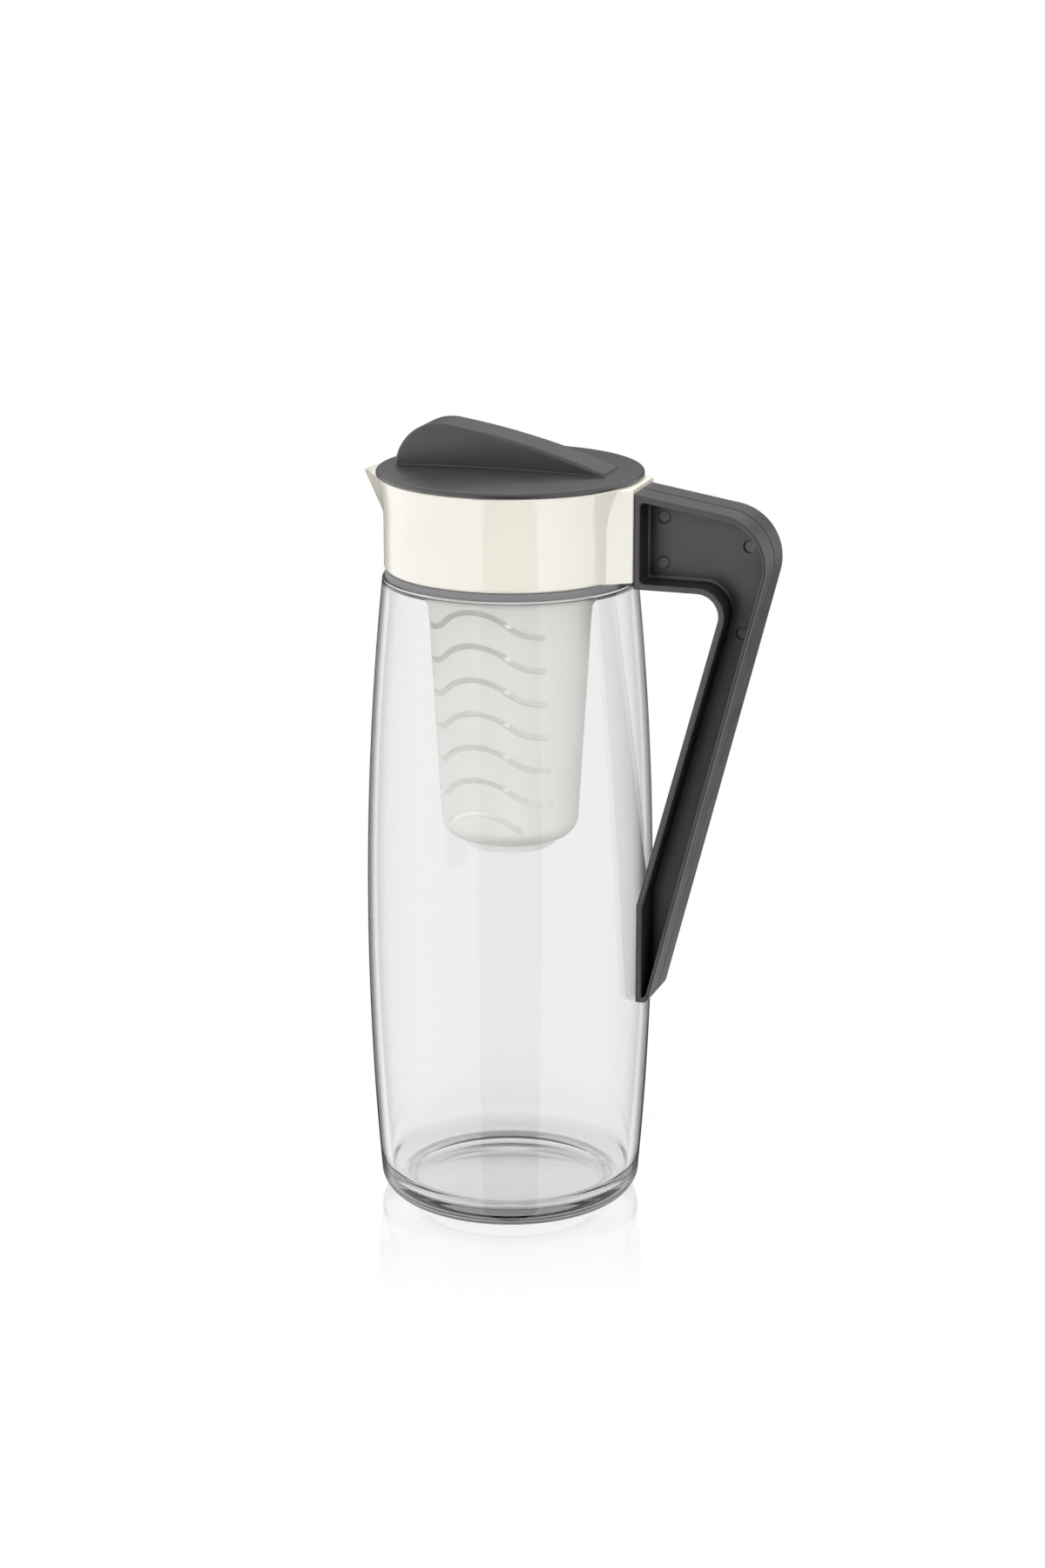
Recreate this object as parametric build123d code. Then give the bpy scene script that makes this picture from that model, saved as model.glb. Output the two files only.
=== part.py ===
from build123d import *
from math import acos, cos, degrees, radians, sin, sqrt, tan
import os

# A glass pitcher with a fruit infuser hung under its lid.
# Millimetres. The origin is where the jar's axis meets the table, the handle is
# on +X, the spout on -X, and +Z is up.

# Glass jar
belly_radius = 50.1
belly_height = 107.5
base_radius = 45.3
shoulder_radius = 43.9
shoulder_height = 224.2
shoulder_step = 1.5
shoulder_thickness = 2.4
heel_round = 8.0
shoulder_round = 0.8
glass_wall = 3.0
glass_floor = 6.0
inner_heel_round = 8.0
inner_shoulder_round = 2.8
bore_round = 1.0
foot_recess_radius = 34.5
foot_recess_depth = 1.6
neck_radius = 39.2
neck_wall = 2.7
neck_height = 14.4
lip_round = 0.8

# Shoulder ring and neck gasket
ring_setback = 0.3
ring_skirt = 1.2
ring_height = 2.6
ring_round = 0.6
ring_clearance = 0.1
gasket_thickness = 1.6
gasket_overhang = 1.0
gasket_setback = 0.4

# Collar
collar_height = 32.4
collar_gap = 0.2
collar_foot_round = 1.2
collar_wall = 2.2
thread_room = 1.9
ledge_thickness = 2.0
ledge_setback = 0.4
flare_width = 2.4
flare_height = 16.0
rim_round = 0.6

# Spout
spout_length = 7.8
spout_tip_radius = 5.0
spout_root_radius = 12.0
spout_height = 21.9
spout_lip_drop = 1.8
spout_wall = 1.8
spout_overlap = 0.2

# Tab on the collar that carries the handle
tab_depth = 3.9
tab_drop = 0.4
tab_margin = 1.0
tab_taper = 34.0
tab_round = 0.8

# Handle
handle_width = 22.6
handle_end_height = 32.7
handle_end_drop = 2.5
handle_top_slope = 9.2
handle_run = 50.4
handle_corner_round = 18.0
grip_run = 31.9
grip_corner_round = 7.5
grip_length = 146.7
tip_face_height = 39.2
tip_thickness = 3.4
tip_round = 2.8
tip_clearance = 0.4
flange = 2.2
spine_thinning = 0.8
web = 2.2
pocket_round = 1.6
pocket_floor_round = 1.2
handle_edge_round = 0.7
parting_width = 0.7
parting_depth = 0.4
pin_mark_radius = 2.1
pin_mark_depth = 0.5
pin_mark_inset = 7.8
pin_mark_drop = 9.3
pin_mark_setback = 12.7
pin_mark_step = 30.0

# Rail of the handle and its slot in the tab
rail_head_width = 15.0
rail_head_depth = 1.6
rail_neck_width = 9.0
rail_neck_depth = 1.8
rail_height = 23.0
rail_clearance = 0.15
sill_thickness = 1.2
sill_gap = 0.2
sill_clearance = 0.7

# Lid
lid_overhang = 0.1
lid_edge = 1.5
lid_dome = 1.1
lid_gap = 0.2
lid_edge_round = 1.0
fin_front_margin = 6.7
fin_back_margin = 9.8
fin_front_radius = 16.5
fin_height = 14.4
fin_lean = 8.0
fin_end_step = 0.9
fin_thickness = 16.0
fin_wall = 1.8
fin_edge_round = 0.8

# Insert under the lid
insert_plate = 2.2
insert_wall = 1.8
insert_gap = 0.8
seal_section = 2.4
seal_clearance = 0.15
seal_proud = 0.7
groove_land = 0.9
pour_window_angle = 40.0
strainer_bars = 7
strainer_slot = 2.4
strainer_step = 7.0
key_length = 40.0
key_height = 2.6
key_clearance = 0.2

# Bayonet between the insert and the basket
lug_count = 3
lug_angle = 10.0
lug_height = 2.8
lug_seat = 0.2
lug_clearance = 0.4
lug_drop = 4.0
twist_angle = 20.0
socket_wall = 1.8
socket_clearance = 0.35
basket_headroom = 0.5

# Infuser basket
basket_length = 124.7
basket_base_radius = 23.5
basket_taper = 3.3
basket_wall = 1.6
basket_round = 6.5
basket_boss_radius = 15.6
basket_boss_drop = 3.0
wave_rows = 7
first_crest_drop = 40.1
last_crest_rise = 12.8
wave_rise = 8.8
wave_half_length = 22.5
slot_width = 2.0
panel_margin = 3.0
last_row_cut = 7.5
panel_angle = -97.5

# Heights and radii that follow from the sizes above
glass_rim = shoulder_height + neck_height
neck_bore = neck_radius - neck_wall
collar_foot = shoulder_height + ring_height + collar_gap
rim_height = collar_foot + collar_height
thread_bore = neck_radius + thread_room
collar_radius = thread_bore + collar_wall
ring_radius = collar_radius - ring_setback
ring_seat_radius = ring_radius - ring_skirt
ring_seat = shoulder_height + shoulder_step
rim_radius = collar_radius + flare_width
spout_reach = rim_radius + spout_length
tab_reach = collar_radius + tab_depth
tab_top = rim_height - tab_drop
tab_width = handle_width + 2 * tab_margin
handle_underside = collar_foot - handle_end_drop
handle_top = handle_underside + handle_end_height
tip_height = handle_underside - grip_length
tip_face_radius = belly_radius + tip_clearance
tip_face_top = tip_height + tip_face_height
lid_radius = rim_radius + lid_overhang
fin_front = lid_radius - fin_front_margin
fin_back = lid_radius - fin_back_margin
ledge_under = glass_rim + gasket_thickness
ledge_top = ledge_under + ledge_thickness
ledge_bore = neck_bore + ledge_setback
lid_under = rim_height + lid_gap
lid_top = lid_under + lid_edge + lid_dome
insert_under = lid_under - insert_plate
insert_foot = ledge_top + insert_gap
chamber_bore = collar_radius - collar_wall
seal_outer = chamber_bore - seal_clearance
seal_middle = seal_outer - seal_section / 2
groove_floor = seal_outer - seal_section - seal_clearance
insert_radius = seal_outer - seal_proud
groove_bottom = insert_foot + groove_land
groove_top = groove_bottom + seal_section + 2 * seal_clearance
window_sill = groove_top + groove_land
basket_top = insert_under - basket_headroom
basket_bottom = basket_top - basket_length
first_crest = basket_top - first_crest_drop
wave_pitch = (basket_length - first_crest_drop - last_crest_rise) / (wave_rows - 1)
slot_half_span = basket_base_radius - panel_margin
last_half_span = slot_half_span - last_row_cut
lug_top = basket_top - lug_drop
lug_foot = lug_top - lug_height
socket_foot = lug_foot - lug_clearance


def revolved(face):
    return revolve(Plane.XZ * face, Axis.Z)


def ring_section(inner, outer, low, high):
    return Pos((inner + outer) / 2, (low + high) / 2) * Rectangle(outer - inner, high - low)


def upright(radius, low, high):
    return Pos(0, 0, low) * Cylinder(radius, high - low, align=(Align.CENTER, Align.CENTER, Align.MIN))


def block(x_low, x_high, width, z_low, z_high):
    middle = Pos((x_low + x_high) / 2, 0, (z_low + z_high) / 2)
    return middle * Box(x_high - x_low, width, z_high - z_low)


def corner(face, x, y):
    return face.vertices().sort_by_distance((x, y))[0]


def sector(radius, start, sweep, low, high):
    wedge = Cylinder(
        radius, high - low, arc_size=sweep, align=(Align.NONE, Align.NONE, Align.MIN)
    )
    return Pos(0, 0, low) * Rot(0, 0, start) * wedge


def side_plate(face, width):
    return extrude(Plane.XZ * face, width / 2, both=True)


def glass_jar():
    outer_lines = [
        Line((0, 0), (base_radius, 0)),
        ThreePointArc(
            (base_radius, 0), (belly_radius, belly_height), (shoulder_radius, shoulder_height)
        ),
        Polyline(
            (shoulder_radius, shoulder_height),
            (ring_seat_radius, shoulder_height),
            (ring_seat_radius, ring_seat),
            (neck_radius, ring_seat),
            (neck_radius, glass_rim),
            (0, glass_rim),
            (0, 0),
        ),
    ]
    outer = make_face(outer_lines)
    outer = fillet(corner(outer, base_radius, 0), heel_round)
    outer = fillet(corner(outer, shoulder_radius, shoulder_height), shoulder_round)
    outer = fillet(corner(outer, neck_radius, glass_rim), lip_round)

    inner_shoulder = ring_seat - shoulder_thickness
    inner_lines = [
        Line((0, glass_floor), (base_radius - glass_wall, glass_floor)),
        ThreePointArc(
            (base_radius - glass_wall, glass_floor),
            (belly_radius - glass_wall, belly_height),
            (shoulder_radius - glass_wall, inner_shoulder),
        ),
        Polyline(
            (shoulder_radius - glass_wall, inner_shoulder),
            (neck_bore, inner_shoulder),
            (neck_bore, glass_rim),
            (0, glass_rim),
            (0, glass_floor),
        ),
    ]
    inner = make_face(inner_lines)
    inner = fillet(corner(inner, base_radius - glass_wall, glass_floor), inner_heel_round)
    inner = fillet(corner(inner, shoulder_radius - glass_wall, inner_shoulder), inner_shoulder_round)
    inner = fillet(corner(inner, neck_bore, inner_shoulder), bore_round)

    recess_lines = [
        TangentArc((0, foot_recess_depth), (foot_recess_radius, 0), tangent=(1, 0)),
        Polyline((foot_recess_radius, 0), (0, 0), (0, foot_recess_depth)),
    ]
    return revolved(outer - inner - make_face(recess_lines))


def shoulder_ring():
    """A boot with an L-section: a flange on the shoulder and a skirt down its step."""
    top = shoulder_height + ring_height
    flange_section = ring_section(neck_radius + ring_clearance, ring_radius, ring_seat, top)
    skirt_section = ring_section(ring_seat_radius + ring_clearance, ring_radius, shoulder_height, top)
    section = flange_section + skirt_section
    section = fillet(corner(section, ring_radius, top), ring_round)
    return revolved(section)


def neck_gasket():
    inner = neck_bore + gasket_setback
    outer = neck_radius + gasket_overhang
    return revolved(ring_section(inner, outer, glass_rim, ledge_under))


def spout_wedge(low, high, reach_low, reach_high, tip_low, tip_high, ring_low, ring_high):
    """A pinched lip: two flanks drawn from the round collar to a narrow tip, widening upwards."""
    outlines = []
    for height, reach, tip, ring in (
        (low, reach_low, tip_low, ring_low),
        (high, reach_high, tip_high, ring_high),
    ):
        centre = reach - tip
        lean = acos((ring - tip) / centre)
        tip_x = -centre - tip * cos(lean)
        tip_y = tip * sin(lean)
        root_x = -ring * cos(lean)
        root_y = ring * sin(lean)
        back = -ring / 2
        lines = [
            ThreePointArc((tip_x, tip_y), (-reach, 0), (tip_x, -tip_y)),
            Polyline(
                (tip_x, -tip_y), (root_x, -root_y), (back, -root_y),
                (back, root_y), (root_x, root_y), (tip_x, tip_y),
            ),
        ]
        outlines.append(Pos(0, 0, height) * make_face(lines))
    return loft(outlines, ruled=True)


def collar_outside():
    flare_foot = rim_height - flare_height
    lines = [
        Polyline(
            (0, rim_height), (0, collar_foot), (collar_radius, collar_foot), (collar_radius, flare_foot)
        ),
        TangentArc((collar_radius, flare_foot), (rim_radius, rim_height), tangent=(0, 1)),
        Line((rim_radius, rim_height), (0, rim_height)),
    ]
    face = make_face(lines)
    face = fillet(corner(face, collar_radius, collar_foot), collar_foot_round)
    face = fillet(corner(face, rim_radius, rim_height), rim_round)
    return revolved(face)


def collar_hollow():
    flare_foot = window_sill
    lines = [
        Polyline(
            (0, rim_height),
            (0, collar_foot),
            (thread_bore, collar_foot),
            (thread_bore, ledge_under),
            (ledge_bore, ledge_under),
            (ledge_bore, ledge_top),
            (chamber_bore, ledge_top),
            (chamber_bore, flare_foot),
        ),
        TangentArc((chamber_bore, flare_foot), (rim_radius - collar_wall, rim_height), tangent=(0, 1)),
        Line((rim_radius - collar_wall, rim_height), (0, rim_height)),
    ]
    return revolved(make_face(lines))


def rail(clearance, low, high):
    """The T-shaped rail of the handle, or with a clearance its slot in the tab."""
    neck_start = tab_reach - rail_neck_depth
    head_start = neck_start - rail_head_depth
    head = block(
        head_start - clearance, neck_start + clearance, rail_head_width + 2 * clearance, low, high
    )
    neck = block(neck_start - clearance, tab_reach, rail_neck_width + 2 * clearance, low, high)
    return head + neck


def handle_tab():
    """The tab that carries the handle: it widens towards the collar and is rounded on top."""
    root = collar_radius / 2
    end_half = tab_width / 2
    root_half = end_half + (tab_reach - root) * tan(radians(tab_taper))
    plan = Polyline(
        (root, root_half), (tab_reach, end_half), (tab_reach, -end_half), (root, -root_half), close=True
    )
    tab = extrude(Pos(0, 0, collar_foot) * make_face(plan), tab_top - collar_foot)
    return fillet(tab.edges().group_by(Axis.Z)[-1].sort_by(Axis.X)[1:], tab_round)


def collar():
    spout_foot = rim_height - spout_height
    lip = spout_wedge(
        spout_foot, rim_height,
        collar_radius - spout_overlap / 2, spout_reach,
        spout_root_radius, spout_tip_radius,
        collar_radius - spout_overlap, rim_radius - spout_overlap,
    )
    channel = spout_wedge(
        window_sill, rim_height,
        chamber_bore - spout_overlap / 2, spout_reach - spout_wall,
        spout_root_radius, spout_tip_radius - spout_wall,
        chamber_bore - spout_overlap, rim_radius - collar_wall - spout_overlap,
    )
    tab = handle_tab()
    lip_top = Polyline(
        (-rim_radius, rim_height),
        (-2 * rim_radius, rim_height),
        (-2 * rim_radius, rim_height - spout_lip_drop * rim_radius / (spout_reach - rim_radius)),
        close=True,
    )
    slot = rail(rail_clearance, collar_foot, collar_foot + rail_height + rail_clearance)
    body = collar_outside() + lip + tab
    body = body - collar_hollow() - channel - slot
    return body - side_plate(make_face(lip_top), 2 * rim_radius)


handle_corner_x = tab_reach + handle_run
handle_corner_z = handle_top - handle_run * tan(radians(handle_top_slope))


def handle_outline():
    """Side view of the handle, carried into the jar's belly where the tip is cut to it later."""
    spine_foot = tip_face_radius + tip_thickness
    grip_corner = tab_reach + grip_run
    inner_foot = belly_radius - glass_wall
    grip_lean = (grip_corner - tip_face_radius) / (handle_underside - tip_face_top)
    grip_foot = tip_face_top - (tip_face_radius - inner_foot) / grip_lean
    face = make_face(
        Polyline(
            (tab_reach, handle_top),
            (handle_corner_x, handle_corner_z),
            (spine_foot, tip_height),
            (inner_foot, tip_height),
            (inner_foot, grip_foot),
            (grip_corner, handle_underside),
            (tab_reach, handle_underside),
            close=True,
        )
    )
    face = fillet(corner(face, handle_corner_x, handle_corner_z), handle_corner_round)
    face = fillet(corner(face, grip_corner, handle_underside), grip_corner_round)
    return fillet(corner(face, spine_foot, tip_height), tip_round)


def handle():
    outline = handle_outline()
    body = side_plate(outline, handle_width)
    body = body - upright(tip_face_radius, 0, handle_underside)
    rim_edges = body.edges().filter_by_position(Axis.Y, handle_width / 2, handle_width / 2)
    rim_edges += body.edges().filter_by_position(Axis.Y, -handle_width / 2, -handle_width / 2)
    body = fillet(rim_edges, handle_edge_round)

    lean = radians(handle_top_slope)
    core = offset(outline, -flange - pocket_round)
    core = core + Pos(spine_thinning * cos(lean), -spine_thinning * sin(lean)) * core
    pocket_face = offset(core, pocket_round, kind=Kind.ARC)
    pocket = extrude(Plane.XZ * pocket_face, handle_width / 2 - web / 2)
    pocket = fillet(pocket.faces().sort_by(Axis.Y)[-1].edges(), pocket_floor_round)
    pocket = Pos(0, -web / 2, 0) * pocket
    pocket = pocket - upright(tip_face_radius + flange, 0, handle_underside)
    pockets = pocket + mirror(pocket, Plane.XZ)

    groove = side_plate(outline, parting_width)
    groove = groove - side_plate(offset(outline, -parting_depth), parting_width)

    body = body - pockets - groove
    near_x = tab_reach + pin_mark_inset
    far_x = handle_corner_x - pin_mark_setback
    far_z = handle_corner_z - pin_mark_drop
    pin_marks = (
        (near_x, handle_top - pin_mark_drop),
        (near_x, handle_underside + pin_mark_inset),
        (far_x, far_z),
        (far_x - pin_mark_radius, far_z - pin_mark_step),
    )
    for x, z in pin_marks:
        mark = Pos(x, -web / 2, z) * Rot(90, 0, 0) * Cylinder(pin_mark_radius, 2 * pin_mark_depth)
        body = body - mark

    sill_top = collar_foot - sill_gap
    sill = block(0, tab_reach, handle_width, sill_top - sill_thickness, sill_top)
    sill = sill - upright(ring_radius + sill_clearance, 0, rim_height)
    return body + rail(0, sill_top - sill_thickness, collar_foot + rail_height) + sill


def dome_height(radius):
    bend = (lid_radius * lid_radius + lid_dome * lid_dome) / (2 * lid_dome)
    return lid_top - bend + sqrt(bend * bend - radius * radius)


def fin_outline(inset, floor):
    """Side view of the grip: a round front and a long, slightly bowed back down to a small step."""
    centre_x = fin_front_radius - fin_front
    centre_z = lid_top + fin_height - fin_front_radius
    radius = fin_front_radius - inset
    end_x = fin_back - inset
    end_top = dome_height(fin_back) + fin_end_step - inset
    lean = radians(90 - fin_lean)
    touch = (centre_x + radius * cos(lean), centre_z + radius * sin(lean))
    bend = (lean + radians(180)) / 2
    bend_point = (centre_x + radius * cos(bend), centre_z + radius * sin(bend))
    front_x = centre_x - radius
    return make_face(
        [
            ThreePointArc((front_x, centre_z), bend_point, touch),
            TangentArc(touch, (end_x, end_top), tangent=(sin(lean), -cos(lean))),
            Polyline((end_x, end_top), (end_x, floor), (front_x, floor), (front_x, centre_z)),
        ]
    )


def lid_cap():
    edge_top = lid_under + lid_edge
    section = make_face(
        [
            TangentArc((0, lid_top), (lid_radius, edge_top), tangent=(1, 0)),
            Polyline((lid_radius, edge_top), (lid_radius, lid_under), (0, lid_under), (0, lid_top)),
        ]
    )
    disc = revolved(fillet(corner(section, lid_radius, edge_top), lid_edge_round))
    fin = side_plate(fin_outline(0, lid_under), fin_thickness)
    fin_edges = fin.edges().filter_by(GeomType.CIRCLE)
    fin_end = (fin_back, 0, dome_height(fin_back) + fin_end_step)
    fin_edges += fin.edges().filter_by(Axis.Y).sort_by_distance(fin_end)[:1]
    fin = fillet(fin_edges, fin_edge_round)
    body = disc + fin
    return body - side_plate(fin_outline(fin_wall, lid_under), fin_thickness - 2 * fin_wall)


def lid_insert():
    plate = upright(insert_radius, insert_under, lid_under)
    skirt = upright(insert_radius, insert_foot, insert_under) - upright(
        insert_radius - insert_wall, insert_foot, insert_under
    )
    land = upright(insert_radius, insert_foot, window_sill) - upright(
        groove_floor - insert_wall, insert_foot, window_sill
    )
    groove = upright(insert_radius, groove_bottom, groove_top) - upright(
        groove_floor, groove_bottom, groove_top
    )
    window_start = 180 - pour_window_angle / 2
    window = sector(2 * insert_radius, window_start, pour_window_angle, window_sill, insert_under)
    wall = skirt + land - groove - window
    for bar in range(strainer_bars):
        angle = (bar - (strainer_bars - 1) / 2) * strainer_step
        slot = block(insert_radius / 2, 2 * insert_radius, strainer_slot, window_sill, insert_under)
        wall = wall - Rot(0, 0, angle) * slot

    key_half = key_length / 2
    key_width = fin_thickness - 2 * fin_wall - 2 * key_clearance
    key = block(-key_half, key_half, key_width, lid_under, lid_under + key_height)
    return plate + wall + key + bayonet_socket()


def basket_radius(height):
    return basket_base_radius + (height - basket_bottom) * tan(radians(basket_taper))


socket_radius = basket_radius(socket_foot) - basket_wall - socket_clearance


def bayonet_socket():
    ring = upright(socket_radius, socket_foot, insert_under)
    lug_reach = basket_radius(lug_foot)
    for lug in range(lug_count):
        start = lug * 360 / lug_count - lug_angle / 2
        ring = ring + sector(lug_reach, start, lug_angle, lug_foot, lug_top)
    return ring - upright(socket_radius - socket_wall, socket_foot, insert_under)


def lid_seal():
    height = (groove_bottom + groove_top) / 2
    return revolved(Pos(seal_middle, height) * Circle(seal_section / 2))


def wave_height(u):
    rise = wave_rise / 2
    half = wave_half_length / 2
    bend = (half * half + rise * rise) / (2 * rise)
    if abs(u) <= half:
        return rise - bend + sqrt(bend * bend - u * u)
    return bend - rise - sqrt(bend * bend - (abs(u) - wave_half_length) ** 2)


def wave_slot(half_span):
    half = wave_half_length / 2
    middle = (half + half_span) / 2
    path = [
        ThreePointArc((-half_span, wave_height(half_span)), (-middle, wave_height(middle)), (-half, 0)),
        ThreePointArc((-half, 0), (0, wave_rise / 2), (half, 0)),
        ThreePointArc((half, 0), (middle, wave_height(middle)), (half_span, wave_height(half_span))),
    ]
    slot = trace(path, slot_width)
    for side in (-1, 1):
        slot = slot + Pos(side * half_span, wave_height(half_span)) * Circle(slot_width / 2)
    return slot


def infuser_basket():
    top_radius = basket_radius(basket_top)
    outer = make_face(
        Polyline(
            (0, basket_bottom),
            (basket_base_radius, basket_bottom),
            (top_radius, basket_top),
            (0, basket_top),
            close=True,
        )
    )
    outer = fillet(corner(outer, basket_base_radius, basket_bottom), basket_round)
    floor = basket_bottom + basket_wall
    inner = make_face(
        Polyline(
            (0, floor),
            (basket_radius(floor) - basket_wall, floor),
            (top_radius - basket_wall, basket_top),
            (0, basket_top),
            close=True,
        )
    )
    inner = fillet(corner(inner, basket_radius(floor) - basket_wall, floor), basket_round - basket_wall)
    boss = upright(basket_boss_radius, basket_bottom - basket_boss_drop, floor)
    body = revolved(outer) + boss - revolved(inner)

    for row in range(wave_rows):
        middle = first_crest - wave_rise / 2 - row * wave_pitch
        half_span = last_half_span if row == wave_rows - 1 else slot_half_span
        slots = side_plate(Pos(0, middle) * wave_slot(half_span), 4 * top_radius)
        body = body - Rot(0, 0, panel_angle + 90) * slots

    spare = degrees(lug_clearance / socket_radius)
    leg_foot = lug_foot - lug_clearance
    for lug in range(lug_count):
        start = lug * 360 / lug_count - lug_angle / 2 - spare
        leg = lug_angle + 2 * spare
        turn = sector(2 * top_radius, start - twist_angle, leg + twist_angle, leg_foot, lug_top + lug_seat)
        drop = sector(2 * top_radius, start - twist_angle, leg, leg_foot, basket_top)
        body = body - turn - drop
    return body


pieces = {
    "glass_jar": glass_jar,
    "shoulder_ring": shoulder_ring,
    "neck_gasket": neck_gasket,
    "collar": collar,
    "handle": handle,
    "lid_cap": lid_cap,
    "lid_insert": lid_insert,
    "lid_seal": lid_seal,
    "infuser_basket": infuser_basket,
}

os.makedirs("parts", exist_ok=True)
for name, make in pieces.items():
    solid = make()
    export_step(solid, f"parts/{name}.step")
    print(name, round(solid.volume, 1), solid.bounding_box())
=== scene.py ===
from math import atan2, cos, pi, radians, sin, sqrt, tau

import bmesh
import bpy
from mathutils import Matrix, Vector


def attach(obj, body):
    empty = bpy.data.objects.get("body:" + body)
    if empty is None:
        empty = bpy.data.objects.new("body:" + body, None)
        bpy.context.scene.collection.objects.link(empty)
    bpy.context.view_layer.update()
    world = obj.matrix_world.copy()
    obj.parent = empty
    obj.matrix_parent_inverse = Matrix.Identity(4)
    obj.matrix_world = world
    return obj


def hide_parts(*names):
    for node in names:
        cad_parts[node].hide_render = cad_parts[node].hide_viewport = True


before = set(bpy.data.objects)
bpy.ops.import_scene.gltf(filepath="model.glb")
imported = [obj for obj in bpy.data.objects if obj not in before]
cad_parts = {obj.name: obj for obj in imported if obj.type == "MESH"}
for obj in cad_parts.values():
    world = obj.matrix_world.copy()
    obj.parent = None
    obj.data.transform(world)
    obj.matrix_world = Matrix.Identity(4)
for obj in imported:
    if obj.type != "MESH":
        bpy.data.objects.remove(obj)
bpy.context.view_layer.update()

# %% [markdown]
# A glass pitcher with a fruit infuser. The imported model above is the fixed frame: nine pieces that
# already stand in their real places, in metres, with the handle on +X and the spout on -X.
# In this lesson the glass is spun again with its fine detail, every other piece gets its finish, and
# a white studio with its lamps and a camera is put around them.

MM = 0.001
scene = bpy.context.scene
print("nodes in the frame:", ", ".join(sorted(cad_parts)))

# %% [markdown]
# The jar is pressed glass: a barrel with a thick floor, a rounded heel, and a threaded neck that the
# collar screws onto. It could keep its plain solid, but glass shows every facet of a mesh, so a clean
# surface of revolution is worth making here. The barrel's wall is one arc outside and one inside, and
# small rounds lead from these arcs into the flat foot, the floor and the shoulder.

# %% Sizes of the jar's section, in millimetres
belly = (50.1, 107.5)
base_radius = 45.3
shoulder = (43.9, 224.2)
ring_seat = (41.8, 225.7)
glass_wall = 3.0
glass_floor = 6.0
shoulder_thickness = 2.4
heel_round = 8.0
inner_heel_round = 8.0
shoulder_round = 0.8
inner_shoulder_round = 2.8
bore_round = 1.0
foot_recess = (34.5, 1.6)
neck_radius = 39.2
neck_bore = 36.5
rim_height = 238.6
lip_round = 0.8
inner_top = ring_seat[1] - shoulder_thickness
print("jar, mm:", 2 * belly[0], "across the belly,", rim_height, "to the rim")

# %% Arcs and rounds of the section


def circle_through(first, second, third):
    """Centre and radius of the circle through three points of the section."""
    (ax, az), (bx, bz), (cx, cz) = first, second, third
    turn = 2 * (ax * (bz - cz) + bx * (cz - az) + cx * (az - bz))
    a2, b2, c2 = ax * ax + az * az, bx * bx + bz * bz, cx * cx + cz * cz
    x = (a2 * (bz - cz) + b2 * (cz - az) + c2 * (az - bz)) / turn
    z = (a2 * (cx - bx) + b2 * (ax - cx) + c2 * (bx - ax)) / turn
    return (x, z), sqrt((ax - x) ** 2 + (az - z) ** 2)


def corner_round(circle, level, round_radius, side):
    """A round above (1) or below (-1) a flat: its centre, and its end on the barrel's arc."""
    (x, z), radius = circle
    height = level + side * round_radius
    centre = (x + sqrt((radius - round_radius) ** 2 - (height - z) ** 2), height)
    lean = atan2(centre[1] - z, centre[0] - x)
    return centre, (x + radius * cos(lean), z + radius * sin(lean))


outer_arc = circle_through((base_radius, 0.0), belly, shoulder)
inner_arc = circle_through(
    (base_radius - glass_wall, glass_floor),
    (belly[0] - glass_wall, belly[1]),
    (shoulder[0] - glass_wall, inner_top),
)
heel, heel_end = corner_round(outer_arc, 0.0, heel_round, 1)
top, top_end = corner_round(outer_arc, shoulder[1], shoulder_round, -1)
inner_heel, inner_heel_end = corner_round(inner_arc, glass_floor, inner_heel_round, 1)
inner_shoulder, inner_shoulder_end = corner_round(inner_arc, inner_top, inner_shoulder_round, -1)
print("barrel arc radius, mm:", round(outer_arc[1], 1), "inside", round(inner_arc[1], 1))

# %% [markdown]
# A pen draws half of the section: a straight run extrudes its last vertex, and an arc spins that
# vertex about the arc's centre. A full spin about the upright axis then turns the section into the
# jar, with the inner wall and the outer wall in one closed skin.

# %% A pen for sections


class SectionPen:
    """Draws a section in the XZ plane, in millimetres, by extruding and spinning its last vertex."""

    merge_reach = 0.002

    def __init__(self, start):
        self.mesh = bmesh.new()
        self.tip = self.mesh.verts.new(Vector((start[0], 0, start[1])) * MM)

    def line(self, end, steps=1):
        run = Vector((end[0], 0, end[1])) * MM - self.tip.co
        for step in range(steps):
            made = bmesh.ops.extrude_vert_indiv(self.mesh, verts=[self.tip])
            self.tip = made["verts"][0]
            bmesh.ops.translate(self.mesh, verts=[self.tip], vec=run / steps)

    def arc(self, centre, end, steps):
        middle = Vector((centre[0], 0, centre[1])) * MM
        start_lean = atan2(self.tip.co.z - middle.z, self.tip.co.x - middle.x)
        end_lean = atan2(end[1] - centre[1], end[0] - centre[0])
        sweep = (end_lean - start_lean + pi) % tau - pi
        made = bmesh.ops.spin(
            self.mesh, geom=[self.tip], cent=middle, axis=(0, -1, 0), angle=sweep, steps=steps
        )
        self.tip = [part for part in made["geom_last"] if isinstance(part, bmesh.types.BMVert)][0]

    def spun(self, steps):
        """The section turned all the way round the upright axis."""
        section = list(self.mesh.verts) + list(self.mesh.edges)
        bmesh.ops.spin(
            self.mesh,
            geom=section,
            cent=(0, 0, 0),
            axis=(0, 0, 1),
            angle=tau,
            steps=steps,
            use_merge=True,
        )
        bmesh.ops.remove_doubles(self.mesh, verts=self.mesh.verts, dist=self.merge_reach * MM)
        bmesh.ops.recalc_face_normals(self.mesh, faces=self.mesh.faces)
        return self.mesh


pen = SectionPen((0, foot_recess[1]))
print("pen on the axis, mm above the table:", foot_recess[1])

# %% Draw and spin the jar
steps_around = 240
neck_rows = 34
stipple_rows = 5

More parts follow.
